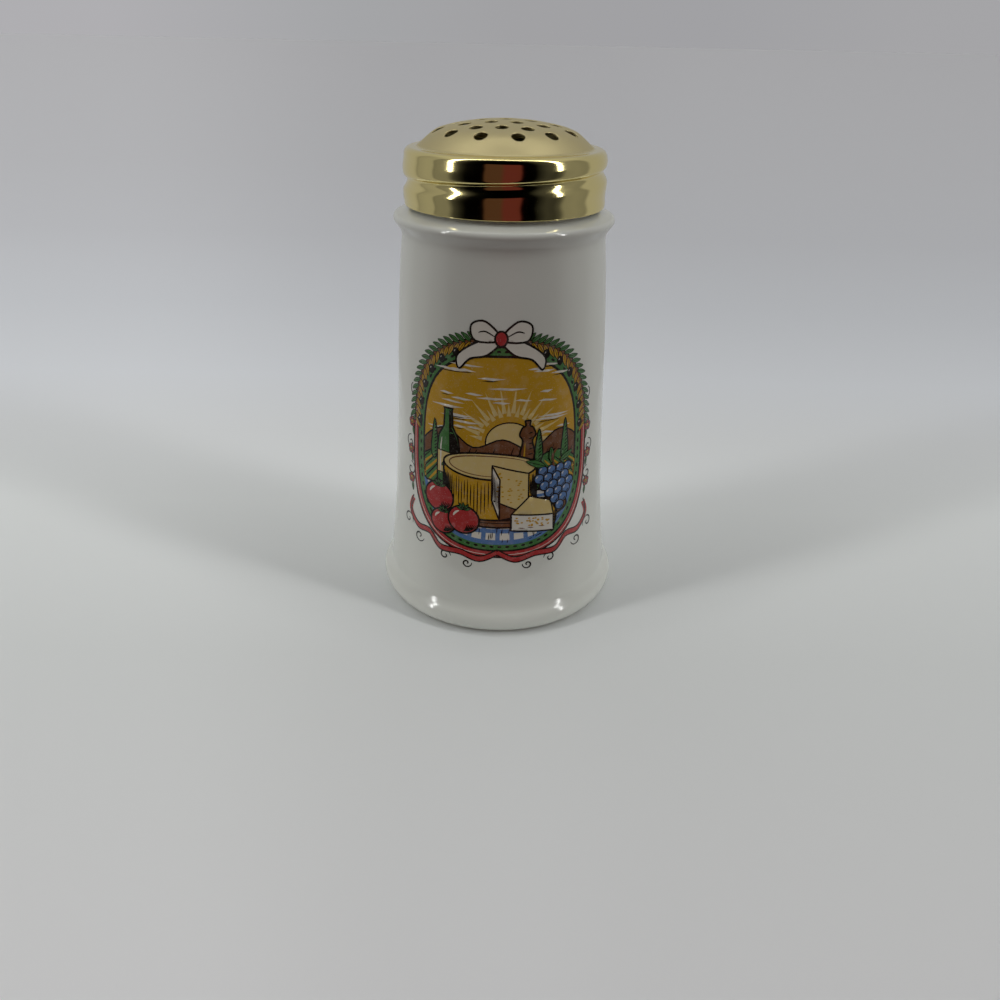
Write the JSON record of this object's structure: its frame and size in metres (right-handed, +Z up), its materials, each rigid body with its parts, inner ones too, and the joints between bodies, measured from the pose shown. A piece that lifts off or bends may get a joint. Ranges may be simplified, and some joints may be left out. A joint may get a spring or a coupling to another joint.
{
  "type": "parmesan shaker",
  "caption": "Waisted ceramic cheese shaker jar with a flared foot and a screw-on domed metal lid pierced with sprinkle holes.",
  "frame": {"origin": "centre of the foot, on the surface the jar stands on", "axes": "+Z up along the axis of the jar and the lid, -Y towards the printed front"},
  "size_m": [0.081, 0.081, 0.1518],
  "materials": {
    "glazed_jar": "glossy white glaze",
    "gold_lid": "pale gold, satin crown and polished skirt"
  },
  "bodies": {
    "jar": {"jar": "glazed_jar"},
    "lid": {"lid": "gold_lid"}
  },
  "joints": [
    {"name": "lid_lift", "type": "slide", "parent": "jar", "child": "lid", "axis": [0, 0, 1], "range_m": [0, 0.05]}
  ]
}
